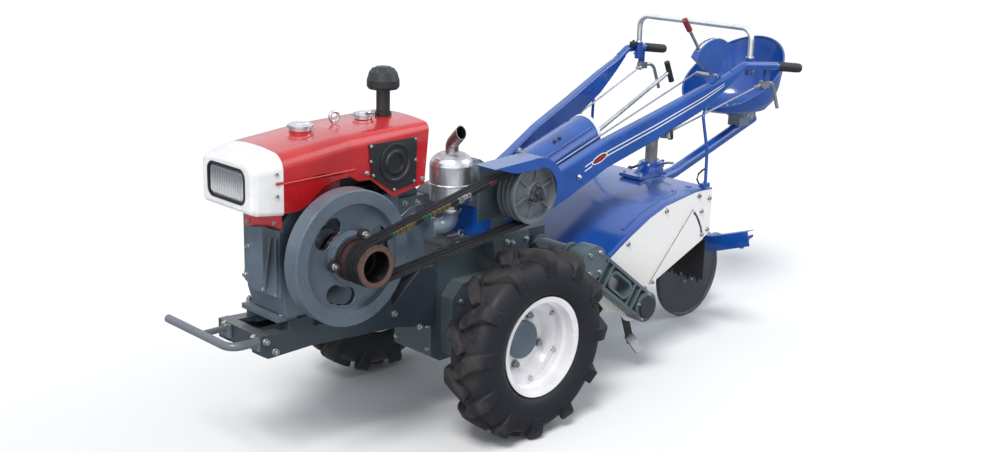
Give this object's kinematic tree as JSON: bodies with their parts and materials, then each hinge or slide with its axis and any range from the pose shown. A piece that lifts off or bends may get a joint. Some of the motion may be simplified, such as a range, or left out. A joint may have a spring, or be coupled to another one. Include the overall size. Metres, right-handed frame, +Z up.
{
  "type": "two-wheel power tiller",
  "caption": "Two-wheel walking tractor with an open flywheel engine, belt drive, handlebars, side-driven rotary tiller, seat and tail wheel.",
  "frame": {"origin": "centre of the bounding box at ground level, under the middle of the machine", "axes": "+X forward towards the headlamp, +Y to the machine's left (flywheel side), +Z up"},
  "size_m": [2.742, 0.97, 1.3032],
  "materials": {
    "tyre": "matte",
    "white_paint": "gloss",
    "blue_paint": "gloss",
    "red_paint": "gloss",
    "grey_paint": "satin",
    "grey_casting": "satin",
    "bare_iron": "rough",
    "dark_steel": "satin",
    "chrome": "polished",
    "bright_steel": "brushed",
    "black_plastic": "matte",
    "rubber": "matte",
    "lens": "clear"
  },
  "bodies": {
    "machine": {"air_stack": "black_plastic", "axle_housings": "grey_casting", "belt_guard": "blue_paint", "chain_case": "grey_casting", "chassis_frame": "grey_paint", "clutch_lever": "bright_steel", "clutch_rod": "bright_steel", "cover_stays": "blue_paint", "crankcase": "grey_casting", "cross_tube": "grey_casting", "cylinder_head": "grey_casting", "drive_belts": "rubber", "exhaust_elbow": "bright_steel", "fan_cover": "dark_steel", "filler_caps": "bright_steel", "fuel_tank": "red_paint", "gear_case": "grey_casting", "gearbox": "grey_casting", "guard_hoop": "chrome", "hand_grips": "rubber", "headlamp": "black_plastic", "headlamp_fairing": "white_paint", "headlamp_lens": "lens", "left_arm": "blue_paint", "lever_quadrant": "blue_paint", "lifting_bar": "grey_paint", "lifting_eye": "bright_steel", "muffler": "bright_steel", "radiator_grille": "dark_steel", "rear_flaps": "rubber", "rear_hood": "red_paint", "right_arm": "blue_paint", "rotor_side_arm": "grey_casting", "seat_beam": "blue_paint", "seat_bracket": "dark_steel", "seat_pan": "blue_paint", "shift_console": "blue_paint", "shift_lever": "bright_steel", "side_panels": "white_paint", "steering_levers": "bright_steel", "steering_rods": "bright_steel", "tail_clamp": "blue_paint", "tiller_cover": "blue_paint"},
    "left_wheel": {"left_tyre": "tyre", "left_rim": "white_paint", "left_hub": "grey_casting"},
    "right_wheel": {"right_tyre": "tyre", "right_rim": "white_paint", "right_hub": "grey_casting"},
    "crank": {"flywheel": "grey_casting", "engine_pulley": "bare_iron"},
    "clutch": {"clutch_pulley": "grey_casting"},
    "rotor": {"tiller_rotor": "dark_steel"},
    "tail_steering": {"tail_fork": "blue_paint"},
    "tail_wheel_body": {"tail_wheel": "grey_paint"}
  },
  "joints": [
    {"name": "left_wheel_spin", "type": "hinge", "parent": "machine", "child": "left_wheel", "pos_m": [0.42801, 0.403, 0.32], "axis": [0, 1, 0], "continuous": true},
    {"name": "right_wheel_spin", "type": "hinge", "parent": "machine", "child": "right_wheel", "pos_m": [0.42801, -0.403, 0.32], "axis": [0, 1, 0], "continuous": true},
    {"name": "crank_spin", "type": "hinge", "parent": "machine", "child": "crank", "pos_m": [1.05801, 0.265, 0.696], "axis": [0, 1, 0], "continuous": true},
    {"name": "clutch_pulley_spin", "type": "hinge", "parent": "machine", "child": "clutch", "pos_m": [0.41301, 0.364, 0.815], "axis": [0, 1, 0], "continuous": true},
    {"name": "rotor_spin", "type": "hinge", "parent": "machine", "child": "rotor", "pos_m": [-0.22199, 0, 0.287], "axis": [0, 1, 0], "continuous": true},
    {"name": "tail_wheel_steer", "type": "hinge", "parent": "machine", "child": "tail_steering", "pos_m": [-0.65999, 0, 0.5], "axis": [0, 0, 1], "range_deg": [-20, 20]},
    {"name": "tail_wheel_spin", "type": "hinge", "parent": "tail_steering", "child": "tail_wheel_body", "pos_m": [-0.94698, 0, 0.195], "axis": [0, 1, 0], "continuous": true}
  ]
}
